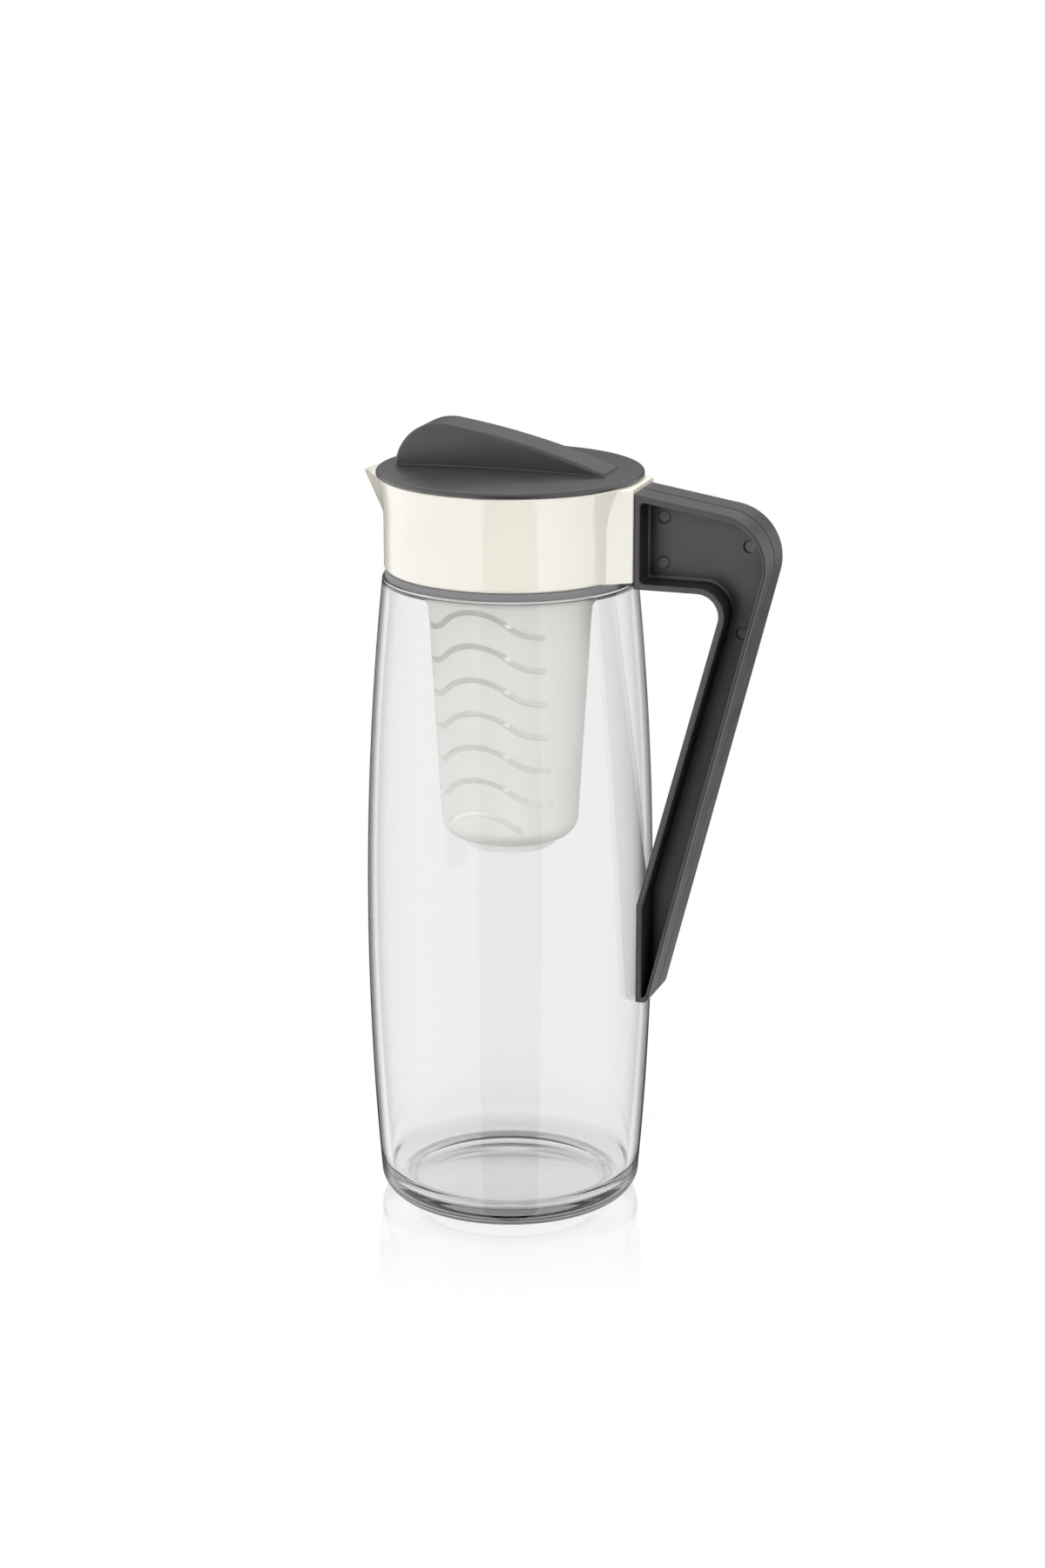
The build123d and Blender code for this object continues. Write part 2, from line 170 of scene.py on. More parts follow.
recess_radius = (foot_recess[0] ** 2 + foot_recess[1] ** 2) / (2 * foot_recess[1])
lip_level = rim_height - lip_round
bore_level = inner_top + bore_round
pen.arc((0, foot_recess[1] - recess_radius), (foot_recess[0], 0), steps=10)
pen.line((heel[0], 0), stipple_rows)
pen.arc(heel, heel_end, steps=14)
pen.arc(outer_arc[0], top_end, steps=72)
pen.arc(top, (top[0], shoulder[1]), steps=6)
pen.line((ring_seat[0], shoulder[1]))
pen.line(ring_seat)
pen.line((neck_radius, ring_seat[1]))
pen.line((neck_radius, lip_level), neck_rows)
pen.arc((neck_radius - lip_round, lip_level), (neck_radius - lip_round, rim_height), steps=5)
pen.line((neck_bore + lip_round, rim_height))
pen.arc((neck_bore + lip_round, lip_level), (neck_bore, lip_level), steps=5)
pen.line((neck_bore, bore_level), steps=4)
pen.arc((neck_bore + bore_round, bore_level), (neck_bore + bore_round, inner_top), steps=5)
pen.line((inner_shoulder[0], inner_top))
pen.arc(inner_shoulder, inner_shoulder_end, steps=8)
pen.arc(inner_arc[0], inner_heel_end, steps=72)
pen.arc(inner_heel, (inner_heel[0], glass_floor), steps=14)
pen.line((0, glass_floor), steps=4)
jar_mesh = pen.spun(steps_around)
print("jar spun:", len(jar_mesh.verts), "vertices")

# %% [markdown]
# Two details of pressed glass are shaped into that skin. The foot stands on a stippled ring of small
# dimples, which a poke of each face makes. The neck carries a thread of a turn and a half, for which
# the rows of the neck's wall are pushed outwards where the helix passes.

# %% Stipple the foot
dimple_depth = 0.35
flat_tolerance = 0.01

foot_faces = []
for face in jar_mesh.faces:
    middle = face.calc_center_median()
    on_table = middle.z < flat_tolerance * MM
    if on_table and middle.xy.length > foot_recess[0] * MM:
        foot_faces.append(face)
bmesh.ops.poke(jar_mesh, faces=foot_faces, offset=-dimple_depth * MM)
print("dimples:", len(foot_faces))

# %% Raise the neck's thread
thread_start = 228.5
thread_pitch = 5.0
thread_turns = 1.5
thread_half_width = 1.5
thread_height = 1.2
thread_fade = 0.08
thread_foot = thread_start - thread_half_width

raised = 0
for vert in jar_mesh.verts:
    off_wall = abs(vert.co.xy.length - neck_radius * MM)
    if off_wall > flat_tolerance * MM or vert.co.z < thread_foot * MM:
        continue
    around = (atan2(vert.co.y, vert.co.x) / tau) % 1.0
    lift = 0.0
    for whole_turn in range(2):
        turn = around + whole_turn
        away = abs(vert.co.z / MM - thread_start - thread_pitch * turn)
        if turn > thread_turns or away > thread_half_width:
            continue
        fade_in = min(1.0, turn / thread_fade, (thread_turns - turn) / thread_fade)
        lift = max(lift, fade_in * thread_height * (1 + cos(pi * away / thread_half_width)) / 2)
    vert.co.xy *= 1 + lift / neck_radius
    raised += lift > 0
print("thread turns:", thread_turns, "on", raised, "raised vertices")

# %% The jar takes the place of its plain solid
sharp_angle = 38


def piece_from(mesh, name):
    """A finished piece at the origin, smooth but for its sharpest edges."""
    for face in mesh.faces:
        face.smooth = True
    data = bpy.data.meshes.new(name)
    mesh.to_mesh(data)
    mesh.free()
    data.set_sharp_from_angle(angle=radians(sharp_angle))
    piece = bpy.data.objects.new(name, data)
    scene.collection.objects.link(piece)
    return piece


jar = piece_from(jar_mesh, "pressed_glass_jar")
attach(jar, "jar")
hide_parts("glass_jar")
print("jar faces:", len(jar.data.polygons))

# %% [markdown]
# In a bright studio, light comes from all sides and goes through glass and milky plastic, so the
# basket hangs in no dark shade. The lamps of this scene are few, and their shadows would darken it
# under the collar. The pieces around it are therefore left out of the shadows, which is simpler than
# many more lamps.

# %% Pieces that cast no shadow
pieces_without_shadow = [jar]
for name in ("infuser_basket", "shoulder_ring", "collar"):
    pieces_without_shadow.append(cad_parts[name])
for piece in pieces_without_shadow:
    piece.visible_shadow = False
print("no shadow from:", ", ".join(piece.name for piece in pieces_without_shadow))

# %% [markdown]
# The finishes share a few effects, so these are node groups that are built once. Moulded grain is the
# fine, even roughness that a mould gives to plastic. Cloudiness is a slow change of tone, such as
# the flow of the melt leaves. Both read the coordinates that they are given, in metres. Small helpers
# place a node, feed a socket and fade one value into another, which every tree below needs.

# %% Helpers for nodes and their sockets


def node(tree, kind, place, **settings):
    """A new node at a place on the tree's sheet."""
    made = tree.nodes.new(kind)
    made.location = place
    for name, value in settings.items():
        setattr(made, name, value)
    return made


def feed(tree, value, socket):
    """Links a socket to another one, or sets it to a plain value."""
    if isinstance(value, bpy.types.NodeSocket):
        tree.links.new(value, socket)
    else:
        socket.default_value = value


print("helpers for nodes: node, feed")

# %% Helpers for values and groups


def combine(tree, operation, first, second, place):
    """Two values put together by one step of arithmetic."""
    made = node(tree, "ShaderNodeMath", place, operation=operation)
    feed(tree, first, made.inputs[0])
    feed(tree, second, made.inputs[1])
    return made.outputs[0]


def fade(tree, value, reach, levels, place, shape="LINEAR"):
    """Goes from one level to another while a value crosses its reach."""
    made = node(tree, "ShaderNodeMapRange", place, interpolation_type=shape)
    feed(tree, value, made.inputs["Value"])
    for label, number in zip(("From Min", "From Max", "To Min", "To Max"), (*reach, *levels)):
        feed(tree, number, made.inputs[label])
    return made.outputs["Result"]


def group_with(name, inputs, outputs):
    """A shader node group with named sockets and its two end nodes."""
    tree = bpy.data.node_groups.new(name, "ShaderNodeTree")
    for label, kind, start in inputs:
        socket = tree.interface.new_socket(name=label, in_out="INPUT", socket_type=kind)
        if start is not None:
            socket.default_value = start
    for label, kind in outputs:
        tree.interface.new_socket(name=label, in_out="OUTPUT", socket_type=kind)
    return tree, node(tree, "NodeGroupInput", (-800, 0)), node(tree, "NodeGroupOutput", (600, 0))


print("helpers for values and groups: combine, fade, group_with")

# %% Shared effect: moulded grain
pit_detail = 3.0
pit_roughness = 0.6
speckle_reach = (0.0, 0.7)

grain, grain_in, grain_out = group_with(
    "moulded_grain",
    [("Vector", "NodeSocketVector", None), ("Grain Size", "NodeSocketFloat", 0.0004)],
    [("Height", "NodeSocketFloat"), ("Speckle", "NodeSocketFloat")],
)
grains_per_metre = combine(grain, "DIVIDE", 1.0, grain_in.outputs["Grain Size"], (-600, -150))
pits = node(grain, "ShaderNodeTexNoise", (-350, 100))
pits.inputs["Detail"].default_value = pit_detail
pits.inputs["Roughness"].default_value = pit_roughness
speckles = node(grain, "ShaderNodeTexVoronoi", (-350, -250))
for texture in (pits, speckles):
    grain.links.new(grain_in.outputs["Vector"], texture.inputs["Vector"])
    grain.links.new(grains_per_metre, texture.inputs["Scale"])
soft_speckles = fade(grain, speckles.outputs["Distance"], speckle_reach, (0, 1), (-100, -250))
grain.links.new(pits.outputs["Fac"], grain_out.inputs["Height"])
grain.links.new(soft_speckles, grain_out.inputs["Speckle"])
print("shared effect:", grain.name)

# %% Shared effect: cloudiness
cloud_detail = 2.0
cloud_reach = (0.3, 0.7)

clouds, clouds_in, clouds_out = group_with(
    "cloudiness",
    [
        ("Vector", "NodeSocketVector", None),
        ("Cloud Size", "NodeSocketFloat", 0.03),
        ("Low", "NodeSocketFloat", 0.4),
        ("High", "NodeSocketFloat", 0.6),
    ],
    [("Value", "NodeSocketFloat")],
)
clouds_per_metre = combine(clouds, "DIVIDE", 1.0, clouds_in.outputs["Cloud Size"], (-600, -150))
billows = node(clouds, "ShaderNodeTexNoise", (-350, 0))
billows.inputs["Detail"].default_value = cloud_detail
clouds.links.new(clouds_in.outputs["Vector"], billows.inputs["Vector"])
clouds.links.new(clouds_per_metre, billows.inputs["Scale"])
cloud_levels = (clouds_in.outputs["Low"], clouds_in.outputs["High"])
cloud_value = fade(clouds, billows.outputs["Fac"], cloud_reach, cloud_levels, (0, 0))
clouds.links.new(cloud_value, clouds_out.inputs["Value"])
print("shared effect:", clouds.name)

# %% [markdown]
# Every finish starts from the Principled shader and an Object coordinate, so that a pattern keeps its
# real size and its place on the piece. Shared effects are then laid on that coordinate.

# %% A blank finish and its effects


def blank_finish(name):
    """A new material, its Principled shader and an Object coordinate to draw on."""
    finish = bpy.data.materials.new(name)
    finish.use_nodes = True
    tree = finish.node_tree
    shader = tree.nodes["Principled BSDF"]
    place = node(tree, "ShaderNodeTexCoord", (-1400, 0))
    return finish, tree, shader, place.outputs["Object"]


def effect(tree, group, vector, place, **values):
    """A shared effect with its own values."""
    made = node(tree, "ShaderNodeGroup", place, node_tree=group)
    tree.links.new(vector, made.inputs["Vector"])
    for label, value in values.items():
        made.inputs[label.replace("_", " ")].default_value = value
    return made


print("helpers for finishes: blank_finish, effect")

# %% [markdown]
# A finish gets two tones of its colour, a skin with fine relief, and the nodes that it goes on. A
# moulded edge is never quite sharp. The Bevel node rounds the edges and the creases in the shading
# alone, which draws the thin lines of light that real ones have and leaves the solids as they are.

# %% Tones, skin and dressing
edge_samples = 8


def two_tones(tree, mask, first, second, place):
    """A colour that goes from the first one to the second one with a mask."""
    mix = node(tree, "ShaderNodeMix", place, data_type="RGBA")
    feed(tree, mask, mix.inputs["Factor"])
    feed(tree, first, mix.inputs["A"])
    feed(tree, second, mix.inputs["B"])
    return mix.outputs["Result"]


def skin(tree, shader, height, distance, strength, edge_round=0.0):
    """Fine relief on top of softly rounded edges, joined to the shader."""
    relief = node(tree, "ShaderNodeBump", (-400, -250))
    relief.inputs["Distance"].default_value = distance
    relief.inputs["Strength"].default_value = strength
    tree.links.new(height, relief.inputs["Height"])
    if edge_round > 0:
        edges = node(tree, "ShaderNodeBevel", (-700, -450), samples=edge_samples)
        edges.inputs["Radius"].default_value = edge_round
        tree.links.new(edges.outputs["Normal"], relief.inputs["Normal"])
    tree.links.new(relief.outputs["Normal"], shader.inputs["Normal"])


def dress(finish, *names):
    """Gives a finish to nodes of the frame."""
    for name in names:
        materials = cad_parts[name].data.materials
        materials.clear()
        materials.append(finish)
    print(finish.name, "on", ", ".join(names))


print("helpers for finishes: two_tones, skin, dress")

# %% [markdown]
# The handle and the lid are moulded in charcoal plastic with a satin skin. It is dark by itself, so
# what is seen of it is mostly reflection: a roughness of about a third keeps the mirrored fin on the
# lid's disc readable and still blurs the lamps.

# %% Charcoal plastic: tone and skin
charcoal_dark = (0.017, 0.017, 0.0175, 1)
charcoal_light = (0.022, 0.022, 0.0225, 1)

charcoal, tree, shader, place = blank_finish("charcoal_plastic")
fine = effect(tree, grain, place, (-1000, -200), Grain_Size=0.0005)
tone = effect(tree, clouds, place, (-1000, 200), Cloud_Size=0.02, Low=0.0, High=1.0)
satin = effect(tree, clouds, place, (-1000, 0), Cloud_Size=0.012, Low=0.30, High=0.38)
plastic_tone = two_tones(tree, tone.outputs["Value"], charcoal_dark, charcoal_light, (-600, 450))
tree.links.new(satin.outputs["Value"], shader.inputs["Roughness"])
skin(tree, shader, fine.outputs["Height"], distance=0.00005, strength=0.35, edge_round=0.0007)
dress(charcoal, "handle", "lid_cap", "lid_insert")

# %% [markdown]
# On the handle's web are four round marks of the pins that push the part out of its mould. Their
# polished faces catch more light, and a lighter base colour paints that sheen: a painted highlight.
# The distance to the nearest pin's axis makes their mask, which stays as round and as sharp as the
# real marks from any side.

# %% Charcoal plastic: the pin marks
pin_marks = ((55.0, 247.9), (55.0, 232.3), (84.9, 239.7), (82.8, 209.7))
pin_mark_radius = 2.1
pin_mark_blur = 0.25
pin_mark_sheen_tone = (0.060, 0.060, 0.061, 1)
farthest = 1.0

flat_place = node(tree, "ShaderNodeVectorMath", (-1400, 700), operation="MULTIPLY")
flat_place.inputs[1].default_value = (1, 0, 1)
tree.links.new(place, flat_place.inputs[0])
nearest = farthest
for row, (x, z) in enumerate(pin_marks):
    away = node(tree, "ShaderNodeVectorMath", (-1200, 700 + 150 * row), operation="DISTANCE")
    away.inputs[1].default_value = (x * MM, 0, z * MM)
    tree.links.new(flat_place.outputs[0], away.inputs[0])
    nearest = combine(tree, "MINIMUM", nearest, away.outputs["Value"], (-1000, 700 + 150 * row))
pin_mark_edge = ((pin_mark_radius + pin_mark_blur) * MM, (pin_mark_radius - pin_mark_blur) * MM)
in_mark = fade(tree, nearest, pin_mark_edge, (0, 1), (-800, 700), "SMOOTHSTEP")
# Painted sheen: the pin marks' base colour is lighter than the skin around them.
tone_with_pin_sheen = two_tones(tree, in_mark, plastic_tone, pin_mark_sheen_tone, (-300, 450))
tree.links.new(tone_with_pin_sheen, shader.inputs["Base Color"])
print("pin marks:", len(pin_marks))

# %% [markdown]
# Deep between the two flanges of the grip hardly any lamp is mirrored. The Ambient Occlusion node
# tells how open a point of the skin is, and the gloss falls with it. Dark paint in the pockets would
# be wrong there, because the plastic itself is the same all over.

# %% Charcoal plastic: less gloss in deep pockets
pocket_reach = 25.0
pocket_openness = (0.25, 0.60)
pocket_gloss = (0.12, 0.85)
shade_samples = 8

openness = node(tree, "ShaderNodeAmbientOcclusion", (-1000, 0), samples=shade_samples)
openness.inputs["Distance"].default_value = pocket_reach * MM
skin_gloss = fade(tree, openness.outputs["AO"], pocket_openness, pocket_gloss, (-800, 100))
tree.links.new(skin_gloss, shader.inputs["Specular IOR Level"])
print("gloss from pocket to open skin:", pocket_gloss)

# %% [markdown]
# The collar is cream plastic from a polished mould. It mirrors the two soft boxes beside the camera,
# with the gap between them as an upright band that is a little more yellow than the rest. A polished
# skin has no grain: only slow, shallow sink marks make the reflection waver. Towards the outline of
# the collar a bare mirror would show too much of the room, so its gloss falls there.

# %% Cream plastic
cream_dark = (0.735, 0.705, 0.62, 1)
cream_light = (0.755, 0.725, 0.64, 1)
cream_mirror_tint = (0.76, 0.80, 1.0, 1)
cream_outline = (0.6, 0.85)
cream_gloss = (0.9, 0.08)

cream, tree, shader, place = blank_finish("cream_plastic")
flow = effect(tree, clouds, place, (-1000, 200), Cloud_Size=0.035, Low=0.0, High=1.0)
polish = effect(tree, clouds, place, (-1000, 0), Cloud_Size=0.02, Low=0.06, High=0.10)
sink = effect(tree, clouds, place, (-1000, -200), Cloud_Size=0.015, Low=0.0, High=1.0)
cream_tone = two_tones(tree, flow.outputs["Value"], cream_dark, cream_light, (-600, 250))
outline = node(tree, "ShaderNodeLayerWeight", (-1000, 500))
outline.inputs["Blend"].default_value = 0.5
outline_gloss = fade(tree, outline.outputs["Facing"], cream_outline, cream_gloss, (-700, 500))
tree.links.new(cream_tone, shader.inputs["Base Color"])
tree.links.new(polish.outputs["Value"], shader.inputs["Roughness"])
tree.links.new(outline_gloss, shader.inputs["Specular IOR Level"])
shader.inputs["Specular Tint"].default_value = cream_mirror_tint
shader.inputs["IOR"].default_value = 1.58
skin(tree, shader, sink.outputs["Value"], distance=0.00002, strength=0.4)
dress(cream, "collar")

# %% [markdown]
# The ring on the shoulder, the gasket on the neck and the seal on the lid's plug are grey silicone. It
# is matt and faintly dusty, so its grain goes into both the colour and the relief.

# %% Grey silicone
silicone_dark = (0.17, 0.17, 0.18, 1)
silicone_light = (0.20, 0.20, 0.21, 1)

silicone, tree, shader, place = blank_finish("grey_silicone")
dust = effect(tree, grain, place, (-1000, 200), Grain_Size=0.0008)
matt = effect(tree, clouds, place, (-1000, 0), Cloud_Size=0.01, Low=0.5, High=0.62)
silicone_tone = two_tones(tree, dust.outputs["Speckle"], silicone_dark, silicone_light, (-600, 250))
tree.links.new(silicone_tone, shader.inputs["Base Color"])
tree.links.new(matt.outputs["Value"], shader.inputs["Roughness"])
skin(tree, shader, dust.outputs["Height"], distance=0.00004, strength=0.4, edge_round=0.0002)
dress(silicone, "shoulder_ring", "neck_gasket", "lid_seal")

# %% [markdown]
# The basket is natural plastic, milky and frosted. Light goes into its wall and comes out on the other
# side, so that it glows softly even inside. A rough transmission carries the light through the wall,
# and a pale base colour gives the milk. Inside the cup and in the cuts of the wavy slots the base
# colour is darker: an Ambient Occlusion node paints the shade there that the walls, left out of the
# shadows, no longer cast.

# %% Frosted plastic
milk_dark = (0.965, 0.960, 0.935, 1)
milk_light = (0.985, 0.980, 0.955, 1)
inside_reach = 40.0
inside_openness = (0.3, 0.9)
inside_shade_levels = (0.77, 1.0)


def toned(tree, colour, share, place):
    """A colour of which only a share is left."""
    made = node(tree, "ShaderNodeVectorMath", place, operation="SCALE")
    tree.links.new(colour, made.inputs[0])
    tree.links.new(share, made.inputs["Scale"])
    return made.outputs["Vector"]


frosted, tree, shader, place = blank_finish("frosted_plastic")
milk = effect(tree, clouds, place, (-1000, 200), Cloud_Size=0.02, Low=0.0, High=1.0)
frost = effect(tree, grain, place, (-1000, -200), Grain_Size=0.0006)
haze = effect(tree, clouds, place, (-1000, 0), Cloud_Size=0.01, Low=0.50, High=0.58)
milk_tone = two_tones(tree, milk.outputs["Value"], milk_dark, milk_light, (-600, 250))
# Painted shade: the basket's own occlusion darkens its base colour inside the cup and in the slots.
own_shade = node(tree, "ShaderNodeAmbientOcclusion", (-1000, 500), samples=shade_samples)
own_shade.only_local = True
own_shade.inputs["Distance"].default_value = inside_reach * MM
inside_shade = fade(tree, own_shade.outputs["AO"], inside_openness, inside_shade_levels, (-800, 500))
milk_with_painted_shade = toned(tree, milk_tone, inside_shade, (-300, 300))
tree.links.new(milk_with_painted_shade, shader.inputs["Base Color"])
tree.links.new(haze.outputs["Value"], shader.inputs["Roughness"])
shader.inputs["Transmission Weight"].default_value = 0.40
shader.inputs["IOR"].default_value = 1.25
skin(tree, shader, frost.outputs["Height"], distance=0.00003, strength=0.25, edge_round=0.0003)
dress(frosted, "infuser_basket")

# %% [markdown]
# The jar is clear glass. Face on it takes little light away, and towards its outline the way through
# the wall gets long, so a ramp on the facing darkens the base colour there: partly the tint of the
# longer path, mostly a painted shade for the dark surroundings that the outline would bend into view.
# A volume inside the glass could give the tint, but needs many more samples. Slow upright streaks, as
# pressing leaves them, make what is seen through the glass waver.

# %% A ramp of greys


def grey(level):
    """A grey of one level, as a colour."""
    return (level, level, level, 1)


def grey_ramp(tree, value, stops, place):
    """A ramp of greys, each a position and a level, that follows a value."""
    made = node(tree, "ShaderNodeValToRGB", place)
    ramp = made.color_ramp
    while len(ramp.elements) < len(stops):
        ramp.elements.new(0.5)
    for element, (position, level) in zip(ramp.elements, stops):
        element.position = position
        element.color = grey(level)
    tree.links.new(value, made.inputs["Fac"])
    return made.outputs["Color"]


print("helpers for greys: grey, grey_ramp")

# %% Clear glass: body and outline
outline_shade_stops = (
    (0.0, 0.915), (0.30, 0.905), (0.40, 0.88), (0.50, 0.83),
    (0.60, 0.77), (0.70, 0.58), (0.80, 0.28), (1.0, 0.05),
)
streak_stretch = (1.0, 1.0, 0.12)

clear, tree, shader, place = blank_finish("clear_glass")
stretch = node(tree, "ShaderNodeMapping", (-1200, -200))
stretch.inputs["Scale"].default_value = streak_stretch
tree.links.new(place, stretch.inputs["Vector"])
long_place = stretch.outputs["Vector"]
streaks = effect(tree, clouds, long_place, (-1000, -200), Cloud_Size=0.012, Low=0.0, High=1.0)
facing = node(tree, "ShaderNodeLayerWeight", (-1000, 300))
facing.inputs["Blend"].default_value = 0.5
# Painted shade: the ramp darkens the glass's base colour towards its outline.
outline_tint_and_shade = grey_ramp(tree, facing.outputs["Facing"], outline_shade_stops, (-700, 300))
shader.inputs["Roughness"].default_value = 0.0
shader.inputs["IOR"].default_value = 1.5
shader.inputs["Transmission Weight"].default_value = 1.0
skin(tree, shader, streaks.outputs["Value"], distance=0.00002, strength=0.3)
jar.data.materials.append(clear)
print("clear glass on", jar.name)

# %% [markdown]
# The heel is the thickest ring of glass, and a mask on height and radius paints it darker still where
# it is looked at directly: a painted shade for the dark surroundings that the heel bends into view.
# Light that is already inside the base meets many walls at a low angle, and the outline's painted shade
# would swallow it, so for rays beyond the first the base keeps one light tone.

# %% Clear glass: heel and base
heel_fade = (10.0 * MM, 8.2 * MM)
heel_rim = (37.5 * MM, 40.0 * MM)
heel_shade_tone = 0.08
base_fade = (20.0 * MM, 14.0 * MM)
base_tone = 0.88

place_parts = node(tree, "ShaderNodeSeparateXYZ", (-1200, 700))
plan_place = node(tree, "ShaderNodeVectorMath", (-1200, 900), operation="MULTIPLY")
plan_place.inputs[1].default_value = (1, 1, 0)
radius = node(tree, "ShaderNodeVectorMath", (-1000, 900), operation="LENGTH")
tree.links.new(place, place_parts.inputs["Vector"])
tree.links.new(place, plan_place.inputs[0])
tree.links.new(plan_place.outputs["Vector"], radius.inputs[0])
height = place_parts.outputs["Z"]
rays = node(tree, "ShaderNodeLightPath", (-800, 1200))
first_ray = rays.outputs["Is Camera Ray"]

low = fade(tree, height, heel_fade, (0, 1), (-800, 700), "SMOOTHSTEP")
outside = fade(tree, radius.outputs["Value"], heel_rim, (0, 1), (-800, 950), "SMOOTHSTEP")
in_heel = combine(tree, "MULTIPLY", low, outside, (-600, 800))
seen_heel = combine(tree, "MULTIPLY", in_heel, first_ray, (-500, 950))
# Painted shade: the heel's base colour falls to a dark grey for camera rays.
heel_shade = fade(tree, seen_heel, (0, 1), (1.0, heel_shade_tone), (-400, 800))
in_base = fade(tree, height, base_fade, (0, 1), (-800, 450), "SMOOTHSTEP")
later_ray = combine(tree, "SUBTRACT", 1.0, first_ray, (-600, 1200))
deep_base = combine(tree, "MULTIPLY", in_base, later_ray, (-600, 550))
shaded_base_tint = two_tones(tree, deep_base, outline_tint_and_shade, grey(base_tone), (-450, 450))
glass_tint_and_shade = toned(tree, shaded_base_tint, heel_shade, (-300, 400))
tree.links.new(glass_tint_and_shade, shader.inputs["Base Color"])
print("heel and base toned to", heel_shade_tone, "and", base_tone)

# %% [markdown]
# The camera stands a little to the handle's side and looks down by sixteen degrees. Its lens and its
# reach were fitted to the ellipses of the lid, the collar and the foot, because near and far cameras
# draw these with different openings. A small shift sets the pitcher left of the frame's middle.

# %% The camera
camera_turn = 18.5
camera_reach = 1.180
camera_height = 0.489
camera_pitch = 16.065

lens = bpy.data.cameras.new("photo_lens")
lens.sensor_fit = "VERTICAL"
lens.sensor_height = 36.0
lens.lens = 80.757
lens.shift_x = 0.0078
lens.clip_end = 50
camera = bpy.data.objects.new("photo_camera", lens)
camera.location = (
    camera_reach * sin(radians(camera_turn)),
    -camera_reach * cos(radians(camera_turn)),
    camera_height,
)
camera.rotation_euler = (radians(90 - camera_pitch), 0, radians(camera_turn))
scene.collection.objects.link(camera)
scene.camera = camera
print("camera at", [round(value, 3) for value in camera.location])

# %% [markdown]
# The world is a white studio. It could be built from walls and cloths, but a sky that is drawn by
# direction alone is quicker to render and easier to set. The level of a direction comes from its
# compass angle about the upright axis, counted from the camera's side of the pitcher.

# %% The world: a compass around the pitcher
world = bpy.data.worlds.new("white_studio")
scene.world = world
world.use_nodes = True
tree = world.node_tree
tree.nodes.clear()
direction = node(tree, "ShaderNodeTexCoord", (-1800, 0))
turned = node(tree, "ShaderNodeMapping", (-1600, 0), vector_type="POINT")
turned.inputs["Rotation"].default_value = (0, 0, -radians(camera_turn))
split = node(tree, "ShaderNodeSeparateXYZ", (-1400, 0))
tree.links.new(direction.outputs["Generated"], turned.inputs["Vector"])
tree.links.new(turned.outputs["Vector"], split.inputs["Vector"])
to_front = combine(tree, "MULTIPLY", split.outputs["Y"], -1.0, (-1200, -150))
around = combine(tree, "ARCTAN2", split.outputs["X"], to_front, (-1000, 0))
compass = fade(tree, around, (-pi, pi), (0, 1), (-800, 0))
print("compass turned by", camera_turn, "degrees")

# %% [markdown]
# Polished surfaces see what would stand around the pitcher: two tall soft boxes with a gap for the
# camera between them, and white high above. Behind the pitcher the level also changes with height:
# a white table, dark cloth that gives the glass its outline, and a grey wall.

# %% The world: what polished surfaces see
gap_level = 0.18
ceiling_level = 1.0
ceiling_heights = (0.31, 0.37)
front_stops = (
    (-136, 1.60), (-118, 1.80), (-60, 1.60), (-26, 1.25),
    (-24, gap_level), (24, gap_level), (26, 1.40), (132, 1.40),
)
# Each layer: the heights where it begins, and its levels at the left, in the middle and at the right
back_layers = (
    ((-1.0, -1.0), (0.70, 0.70, 0.70)),
    ((-0.45, -0.39), (0.06, 0.06, 0.06)),
    ((0.02, 0.06), (0.40, 0.22, 0.16)),
)


def change_with_height(below, above, heights, place):
    """Goes from one view to another between two heights of the direction."""
    mask = fade(tree, split.outputs["Z"], heights, (0, 1), (place[0] - 200, place[1] - 250))
    return two_tones(tree, mask, below, above, place)


studio = None
for row, (heights, (left, middle, right)) in enumerate(back_layers):
    stops = ((-180, middle), (-150, left), *front_stops, (146, right), (180, middle))
    full_turn = [((angle + 180) / 360, level) for angle, level in stops]
    layer = grey_ramp(tree, compass, full_turn, (-500, 300 * row))
    studio = change_with_height(studio, layer, heights, (0, 300 * row)) if studio else layer
studio = change_with_height(studio, grey(ceiling_level), ceiling_heights, (200, 1600))
print("layers behind the pitcher:", len(back_layers))

# %% [markdown]
# The camera and the glass see plain white behind the pitcher, polished surfaces see the studio, and
# matt surfaces get an even fill light, which is kept low so that colours render as they are written.

# %% The world: who sees what
fill_level = 0.34


def background(colour, strength, place):
    """Light from all around, of one colour or of a drawn view."""
    made = node(tree, "ShaderNodeBackground", place)
    feed(tree, colour, made.inputs["Color"])
    made.inputs["Strength"].default_value = strength
    return made.outputs["Background"]


def mixed_shaders(tree, mask, first, second, place):
    """Goes from the first shader to the second one with a mask."""
    made = node(tree, "ShaderNodeMixShader", place)
    for value, socket in zip((mask, first, second), made.inputs):
        tree.links.new(value, socket)
    return made.outputs["Shader"]


def seen_plainly(tree, rays, place):
    """A mask for what the camera sees, directly or through glass."""
    straight, through = rays.outputs["Is Camera Ray"], rays.outputs["Is Transmission Ray"]
    return combine(tree, "MAXIMUM", straight, through, place)


rays = node(tree, "ShaderNodeLightPath", (0, 500))
polished_view = background(studio, 1.0, (400, 0))
fill_light = background(grey(1.0), fill_level, (400, 150))
white_view = background(grey(1.0), 1.0, (400, -150))
by_polish = mixed_shaders(tree, rays.outputs["Is Glossy Ray"], fill_light, polished_view, (650, 100))
by_view = mixed_shaders(tree, seen_plainly(tree, rays, (300, 500)), by_polish, white_view, (850, 0))
world_end = node(tree, "ShaderNodeOutputWorld", (1050, 0))
tree.links.new(by_view, world_end.inputs["Surface"])
print("fill light:", fill_level)

# %% [markdown]
# Four soft lamps give the light itself. The left one stands low, so that its light gets under the lip
# of the spout. They are kept out of reflections, because the world already draws the boxes.

# %% The lamps
lamp_aim = Vector((0, 0, 0.15))


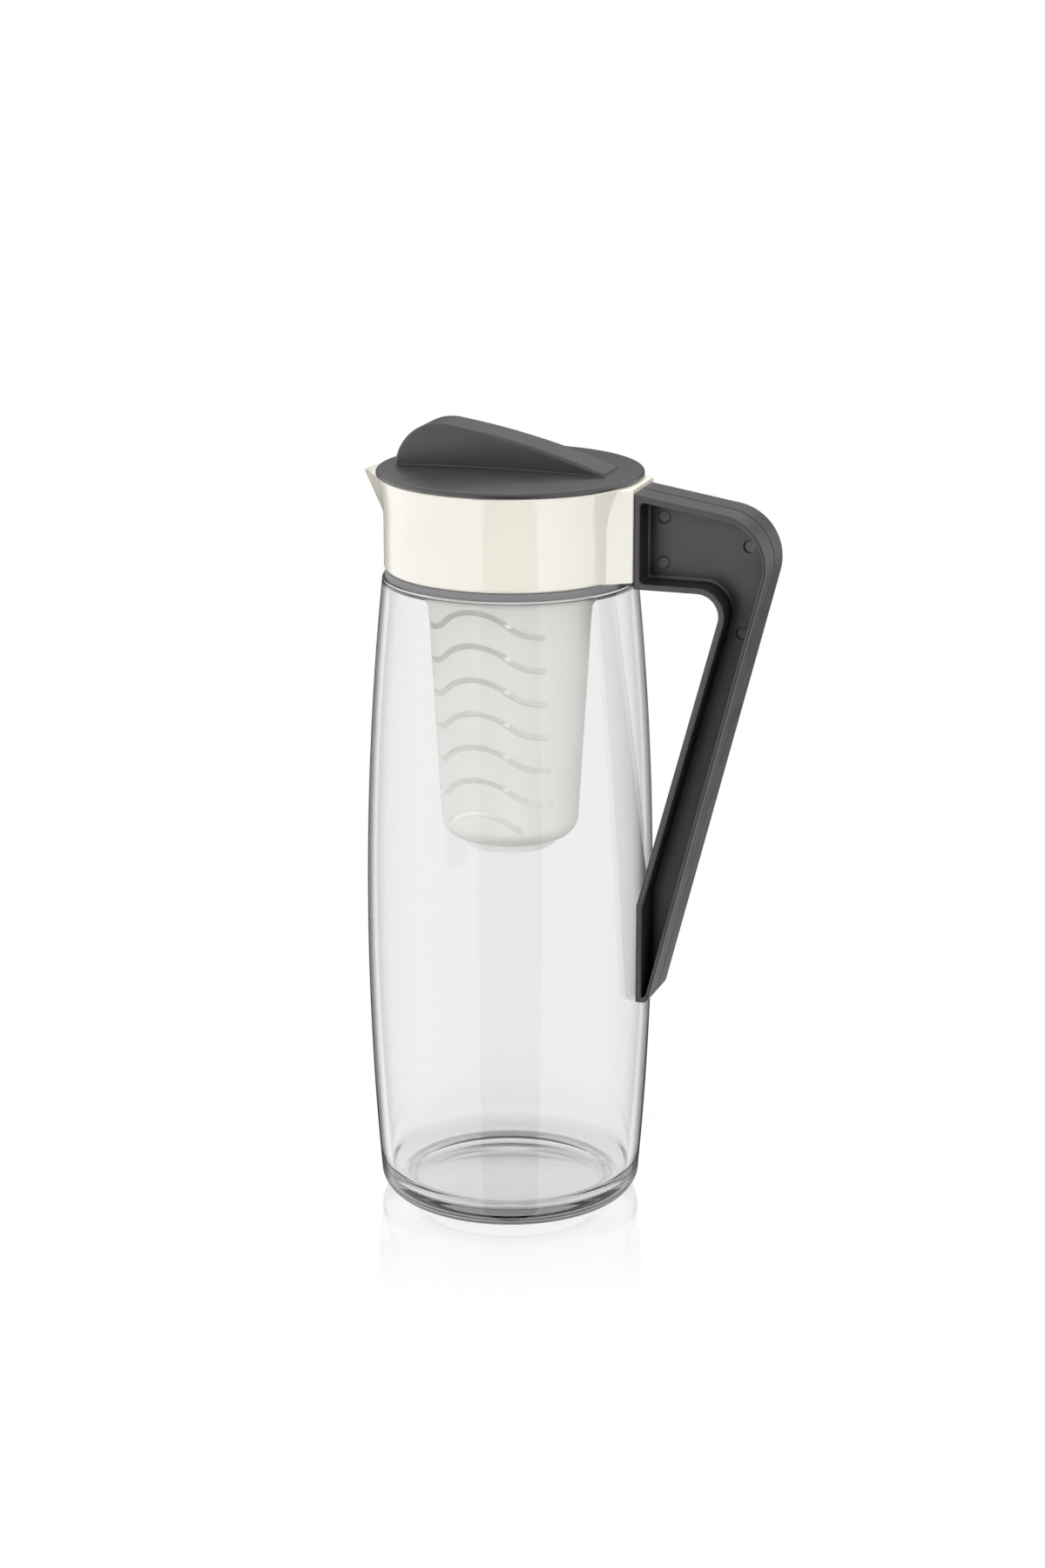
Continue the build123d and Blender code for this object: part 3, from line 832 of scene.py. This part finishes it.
def soft_box(name, turn, reach, height, width, tall, power):
    """A soft lamp at a compass angle from the camera, aimed at the pitcher's middle."""
    lamp = bpy.data.lights.new(name, "AREA")
    lamp.shape = "RECTANGLE"
    lamp.size = width
    lamp.size_y = tall
    lamp.energy = power
    holder = bpy.data.objects.new(name, lamp)
    angle = radians(camera_turn + turn)
    holder.location = (reach * sin(angle), -reach * cos(angle), height)
    holder.rotation_euler = (lamp_aim - holder.location).to_track_quat("-Z", "Y").to_euler()
    holder.visible_camera = False
    holder.visible_glossy = False
    holder.visible_transmission = False
    scene.collection.objects.link(holder)


soft_box("left_soft_box", turn=-52, reach=1.5, height=0.7, width=1.0, tall=1.2, power=12.5)
soft_box("right_soft_box", turn=50, reach=1.5, height=1.3, width=1.0, tall=1.2, power=20)
soft_box("overhead_soft_box", turn=180, reach=0.3, height=1.5, width=1.0, tall=1.0, power=22)
soft_box("back_soft_box", turn=180, reach=1.6, height=1.0, width=1.2, tall=1.0, power=5)

# %% [markdown]
# The pitcher stands on a white polished table, which is a plain grid, far wider than the view. It is
# no part of the pitcher.

# %% The floor
floor_half = 4.0
floor_cells = 8

floor_mesh = bmesh.new()
bmesh.ops.create_grid(floor_mesh, x_segments=floor_cells, y_segments=floor_cells, size=floor_half)
floor_data = bpy.data.meshes.new("studio_floor")
floor_mesh.to_mesh(floor_data)
floor_mesh.free()
floor = bpy.data.objects.new("studio_floor", floor_data)
scene.collection.objects.link(floor)
floor.visible_glossy = False
print("floor of", 2 * floor_half, "m")

# %% [markdown]
# To the camera the table is plain white, and through the glass of the base it shows the shade that
# the foot makes under itself, with a thin dark line where the foot touches the table. Traced shadows
# would be noisy under glass, so a ramp on the distance from the axis draws this shade.

# %% The floor's finish: white with the shade of the foot
shade_reach = 0.1
shade_stops = (
    (0.0, 0.85), (0.335, 0.83), (0.343, 0.50), (0.352, 0.50),
    (0.36, 0.74), (0.48, 0.74), (0.60, 1.0),
)

white_floor = bpy.data.materials.new("white_floor")
white_floor.use_nodes = True
tree = white_floor.node_tree
tree.nodes.clear()
rays = node(tree, "ShaderNodeLightPath", (-400, 500))
floor_place = node(tree, "ShaderNodeTexCoord", (-1400, 0))
from_axis = node(tree, "ShaderNodeVectorMath", (-1200, 0), operation="LENGTH")
tree.links.new(floor_place.outputs["Object"], from_axis.inputs[0])
away = from_axis.outputs["Value"]
shade_place = combine(tree, "DIVIDE", away, shade_reach, (-1000, 200))
foot_shade = grey_ramp(tree, shade_place, shade_stops, (-800, 200))
through_glass = rays.outputs["Is Transmission Ray"]
seen_shade = two_tones(tree, through_glass, grey(1.0), foot_shade, (-600, 200))
glow = node(tree, "ShaderNodeEmission", (-400, 200))
tree.links.new(seen_shade, glow.inputs["Color"])
print("foot's shade drawn out to, m:", shade_reach * shade_stops[-1][0])

# %% [markdown]
# A weak mirror image of the jar lies on the polish close to the foot, and it fades away from there.
# For all other light the table is a matt surface, which lights the pitcher from below.

# %% The floor's finish: polish and bounce
mirror_levels = (0.36, 0.0)
mirror_reach = (0.044, 0.105)
mirror_blur = 0.025
bounce_level = 0.75

mirror = node(tree, "ShaderNodeBsdfGlossy", (-600, -100))
mirror.inputs["Color"].default_value = grey(1.0)
mirror.inputs["Roughness"].default_value = mirror_blur
mirror_share = fade(tree, away, mirror_reach, mirror_levels, (-800, -200))
glow_light, mirror_light = glow.outputs["Emission"], mirror.outputs["BSDF"]
table_top = mixed_shaders(tree, mirror_share, glow_light, mirror_light, (-100, 100))
bounce = node(tree, "ShaderNodeBsdfDiffuse", (-100, -250))
bounce.inputs["Color"].default_value = grey(bounce_level)
seen = seen_plainly(tree, rays, (-150, 500))
by_view = mixed_shaders(tree, seen, bounce.outputs["BSDF"], table_top, (150, 0))
floor_end = node(tree, "ShaderNodeOutputMaterial", (350, 0))
tree.links.new(by_view, floor_end.inputs["Surface"])
floor.data.materials.append(white_floor)
print("mirror share at the foot:", mirror_levels[0])

# %% [markdown]
# Last, the colours go to the screen as they are written.

# %% Finish
scene.view_settings.view_transform = "Standard"
